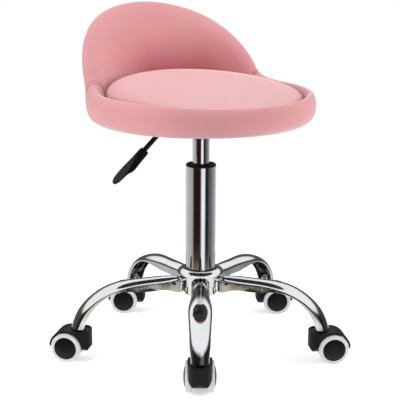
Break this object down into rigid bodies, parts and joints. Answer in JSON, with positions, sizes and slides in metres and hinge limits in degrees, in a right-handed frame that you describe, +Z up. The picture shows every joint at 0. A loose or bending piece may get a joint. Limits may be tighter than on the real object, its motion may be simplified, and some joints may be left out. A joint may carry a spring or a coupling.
{
  "type": "pedicure stool",
  "caption": "Low salon stool with a round padded seat and curved back on a gas lift, a release lever and a star base of chrome legs on twin-wheel casters.",
  "frame": {"origin": "on the floor, on the column's axis", "axes": "+Z up along the column, the sitter faces -Y with the back at +Y, the lever points to -X"},
  "size_m": [0.4932, 0.4482, 0.572],
  "materials": {
    "chrome": "polished chrome plate",
    "steel": "zinc plated",
    "black_steel": "black powder coat",
    "black_plastic": "satin moulded",
    "tread": "soft off-white polyurethane",
    "rubber": "matte",
    "pink_leather": "smooth soft-sheen imitation leather",
    "plywood": "raw birch plywood",
    "dust_cloth": "non-woven, matte"
  },
  "bodies": {
    "base": {"base_hub": "chrome", "hub_cover": "chrome", "column_tube": "chrome", "column_bush": "black_plastic", "bearing_lower_race": "steel", "caster_sockets": "chrome", "caster_stems": "steel", "base_leg_1": "chrome", "base_leg_2": "chrome", "base_leg_3": "chrome", "base_leg_4": "chrome", "base_leg_5": "chrome"},
    "rod": {"piston_rod": "steel", "piston_head": "steel", "rod_clip": "steel", "bearing_cage": "steel", "bearing_upper_washer": "steel", "bump_stop": "rubber"},
    "seat": {"gas_cylinder": "chrome", "rod_guide": "steel", "lift_socket": "black_steel", "seat_plate": "black_steel", "lever_pin": "steel", "seat_bolts": "steel", "tee_nuts": "steel", "seat_board": "plywood", "dust_cover": "dust_cloth", "seat_ring": "pink_leather", "seat_cushion": "pink_leather", "backrest_pad": "pink_leather", "backrest_shell": "plywood"},
    "lever": {"lever_rod": "black_steel", "lever_grip": "black_plastic"},
    "valve": {"release_button": "black_steel"},
    "caster_1": {"caster_hood_1": "black_plastic"},
    "wheel_1a": {"wheel_hub_1a": "black_plastic", "wheel_tread_1a": "tread"},
    "wheel_1b": {"wheel_hub_1b": "black_plastic", "wheel_tread_1b": "tread"},
    "caster_2": {"caster_hood_2": "black_plastic"},
    "wheel_2a": {"wheel_hub_2a": "black_plastic", "wheel_tread_2a": "tread"},
    "wheel_2b": {"wheel_hub_2b": "black_plastic", "wheel_tread_2b": "tread"},
    "caster_3": {"caster_hood_3": "black_plastic"},
    "wheel_3a": {"wheel_hub_3a": "black_plastic", "wheel_tread_3a": "tread"},
    "wheel_3b": {"wheel_hub_3b": "black_plastic", "wheel_tread_3b": "tread"},
    "caster_4": {"caster_hood_4": "black_plastic"},
    "wheel_4a": {"wheel_hub_4a": "black_plastic", "wheel_tread_4a": "tread"},
    "wheel_4b": {"wheel_hub_4b": "black_plastic", "wheel_tread_4b": "tread"},
    "caster_5": {"caster_hood_5": "black_plastic"},
    "wheel_5a": {"wheel_hub_5a": "black_plastic", "wheel_tread_5a": "tread"},
    "wheel_5b": {"wheel_hub_5b": "black_plastic", "wheel_tread_5b": "tread"}
  },
  "joints": [
    {"name": "seat_swivel", "type": "hinge", "parent": "base", "child": "rod", "pos_m": [0, 0, 0.1], "axis": [0, 0, 1], "continuous": true},
    {"name": "lift", "type": "slide", "parent": "rod", "child": "seat", "axis": [0, 0, 1], "range_m": [-0.036, 0.084]},
    {"name": "lever_lift", "type": "hinge", "parent": "seat", "child": "lever", "pos_m": [-0.048, 0, 0.378], "axis": [0, 1, 0], "range_deg": [0, 5.5], "stiffness_Nm_per_rad": 6},
    {"name": "valve_press", "type": "slide", "parent": "seat", "child": "valve", "axis": [0, 0, 1], "range_m": [-0.0055, 0]},
    {"name": "caster_swivel_1", "type": "hinge", "parent": "base", "child": "caster_1", "pos_m": [-0.104, -0.18013, 0.05], "axis": [0, 0, 1], "continuous": true},
    {"name": "wheel_spin_1a", "type": "hinge", "parent": "caster_1", "child": "wheel_1a", "pos_m": [-0.094, -0.16281, 0.025], "axis": [-0.866, 0.5, 0], "continuous": true},
    {"name": "wheel_spin_1b", "type": "hinge", "parent": "caster_1", "child": "wheel_1b", "pos_m": [-0.094, -0.16281, 0.025], "axis": [-0.866, 0.5, 0], "continuous": true},
    {"name": "caster_swivel_2", "type": "hinge", "parent": "base", "child": "caster_2", "pos_m": [0.13918, -0.15457, 0.05], "axis": [0, 0, 1], "continuous": true},
    {"name": "wheel_spin_2a", "type": "hinge", "parent": "caster_2", "child": "wheel_2a", "pos_m": [0.15772, -0.16207, 0.025], "axis": [0.3746, 0.9272, 0], "continuous": true},
    {"name": "wheel_spin_2b", "type": "hinge", "parent": "caster_2", "child": "wheel_2b", "pos_m": [0.15772, -0.16207, 0.025], "axis": [0.3746, 0.9272, 0], "continuous": true},
    {"name": "caster_swivel_3", "type": "hinge", "parent": "base", "child": "caster_3", "pos_m": [0.19002, 0.0846, 0.05], "axis": [0, 0, 1], "continuous": true},
    {"name": "wheel_spin_3a", "type": "hinge", "parent": "caster_3", "child": "wheel_3a", "pos_m": [0.20784, 0.07552, 0.025], "axis": [0.454, 0.891, 0], "continuous": true},
    {"name": "wheel_spin_3b", "type": "hinge", "parent": "caster_3", "child": "wheel_3b", "pos_m": [0.20784, 0.07552, 0.025], "axis": [0.454, 0.891, 0], "continuous": true},
    {"name": "caster_swivel_4", "type": "hinge", "parent": "base", "child": "caster_4", "pos_m": [-0.02174, 0.20686, 0.05], "axis": [0, 0, 1], "continuous": true},
    {"name": "wheel_spin_4a", "type": "hinge", "parent": "caster_4", "child": "wheel_4a", "pos_m": [-0.0387, 0.21746, 0.025], "axis": [-0.5299, -0.848, 0], "continuous": true},
    {"name": "wheel_spin_4b", "type": "hinge", "parent": "caster_4", "child": "wheel_4b", "pos_m": [-0.0387, 0.21746, 0.025], "axis": [-0.5299, -0.848, 0], "continuous": true},
    {"name": "caster_swivel_5", "type": "hinge", "parent": "base", "child": "caster_5", "pos_m": [-0.20345, 0.04325, 0.05], "axis": [0, 0, 1], "continuous": true},
    {"name": "wheel_spin_5a", "type": "hinge", "parent": "caster_5", "child": "wheel_5a", "pos_m": [-0.21832, 0.05663, 0.025], "axis": [-0.6691, -0.7431, 0], "continuous": true},
    {"name": "wheel_spin_5b", "type": "hinge", "parent": "caster_5", "child": "wheel_5b", "pos_m": [-0.21832, 0.05663, 0.025], "axis": [-0.6691, -0.7431, 0], "continuous": true}
  ],
  "couplings": [
    {"joint": "valve_press", "follows": "lever_lift", "m_per_rad": -0.049}
  ]
}
